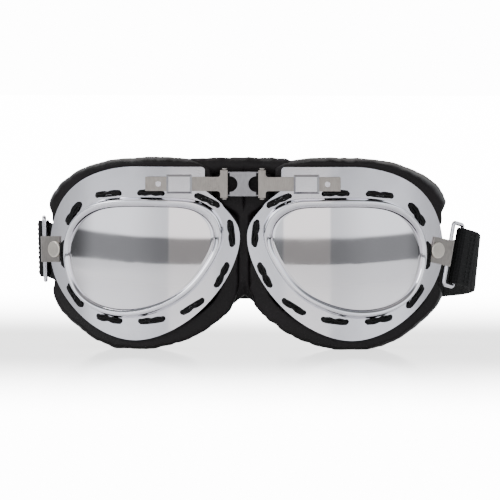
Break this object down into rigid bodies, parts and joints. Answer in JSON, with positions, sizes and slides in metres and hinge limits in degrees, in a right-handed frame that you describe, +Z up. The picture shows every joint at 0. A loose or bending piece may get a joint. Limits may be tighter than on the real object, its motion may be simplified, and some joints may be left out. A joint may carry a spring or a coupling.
{
  "type": "motorcycle goggles",
  "caption": "Open-face motorcycle goggles: mirrored lenses in laced chrome frames, leather pads, hinged nose bridge, clips, rings and head strap.",
  "frame": {"origin": "Bottom centre of the object's box, on the surface that the goggles stand on.", "axes": "+Z is up, -Y is the front that the lenses look out of, +X is to the right as seen from the front."},
  "size_m": [0.1942, 0.1348, 0.0832],
  "materials": {
    "frame_chrome": "bright chrome plate, polished",
    "bezel_chrome": "bright chrome plate on a bevelled bezel",
    "mirror_lens": "silver mirror coating over a smoke lens",
    "black_lace": "round waxed lace",
    "pad_leather": "soft black grained leather, gathered",
    "pad_foam": "open-cell foam",
    "pad_lining": "short-pile cloth lining",
    "nickel_steel": "brushed nickel-plated steel sheet",
    "pin_steel": "turned steel",
    "rivet_nickel": "warm nickel-plated flat rivet",
    "ring_wire": "bright plated wire",
    "adjuster_black": "black enamel on a pressed slide",
    "strap_webbing": "ribbed elastic webbing"
  },
  "bodies": {
    "bridge": {"bridge_link": "nickel_steel", "hinge_pin_left": "pin_steel", "hinge_pin_right": "pin_steel", "nose_pad": "pad_leather", "strap_rear": "strap_webbing", "strap_side_left": "strap_webbing", "strap_side_right": "strap_webbing"},
    "bracket_left": {"bridge_bracket_left": "nickel_steel", "slide_stop_left": "pin_steel"},
    "frame_left": {"eye_frame_left": "frame_chrome", "lens_rim_left": "bezel_chrome", "lens_left": "mirror_lens", "lace_left": "black_lace", "leather_cover_left": "pad_leather", "pad_foam_left": "pad_foam", "pad_lining_left": "pad_lining", "clip_rivet_left": "rivet_nickel"},
    "clip_left": {"strap_clip_left": "nickel_steel"},
    "ring_left": {"strap_ring_left": "ring_wire", "strap_end_left": "strap_webbing"},
    "bracket_right": {"bridge_bracket_right": "nickel_steel", "slide_stop_right": "pin_steel"},
    "frame_right": {"eye_frame_right": "frame_chrome", "lens_rim_right": "bezel_chrome", "lens_right": "mirror_lens", "lace_right": "black_lace", "leather_cover_right": "pad_leather", "pad_foam_right": "pad_foam", "pad_lining_right": "pad_lining", "clip_rivet_right": "rivet_nickel"},
    "clip_right": {"strap_clip_right": "nickel_steel"},
    "ring_right": {"strap_ring_right": "ring_wire", "strap_end_right": "strap_webbing"},
    "adjuster": {"strap_adjuster": "adjuster_black"}
  },
  "joints": [
    {"name": "fold_left", "type": "hinge", "parent": "bridge", "child": "bracket_left", "pos_m": [-0.01325, -0.06258, 0.0716], "axis": [0, 0, 1], "range_deg": [-25, 10], "deforming": ["strap_side_left", "nose_pad"]},
    {"name": "slide_left", "type": "slide", "parent": "bracket_left", "child": "frame_left", "axis": [-1, 0, 0], "range_m": [0, 0.0022]},
    {"name": "clip_swivel_left", "type": "hinge", "parent": "frame_left", "child": "clip_left", "pos_m": [-0.08745, -0.04375, 0.0423], "axis": [-0.6228, -0.7824, 0], "range_deg": [-14, 10]},
    {"name": "ring_swing_left", "type": "hinge", "parent": "clip_left", "child": "ring_left", "pos_m": [-0.0927, -0.03848, 0.04204], "axis": [-0.0273, 0.0217, 0.9994], "range_deg": [-1, 55]},
    {"name": "fold_right", "type": "hinge", "parent": "bridge", "child": "bracket_right", "pos_m": [0.00295, -0.06258, 0.0716], "axis": [0, 0, 1], "range_deg": [-10, 25], "deforming": ["strap_side_right"]},
    {"name": "slide_right", "type": "slide", "parent": "bracket_right", "child": "frame_right", "axis": [1, 0, 0], "range_m": [0, 0.0022]},
    {"name": "clip_swivel_right", "type": "hinge", "parent": "frame_right", "child": "clip_right", "pos_m": [0.07715, -0.04375, 0.0423], "axis": [0.6228, -0.7824, 0], "range_deg": [0, 24]},
    {"name": "ring_swing_right", "type": "hinge", "parent": "clip_right", "child": "ring_right", "pos_m": [0.08229, -0.03858, 0.04076], "axis": [0.1627, 0.1295, 0.9781], "range_deg": [-32, 24]},
    {"name": "adjuster_slide", "type": "slide", "parent": "bridge", "child": "adjuster", "axis": [1, 0, 0], "range_m": [-0.012, 0.012]}
  ]
}
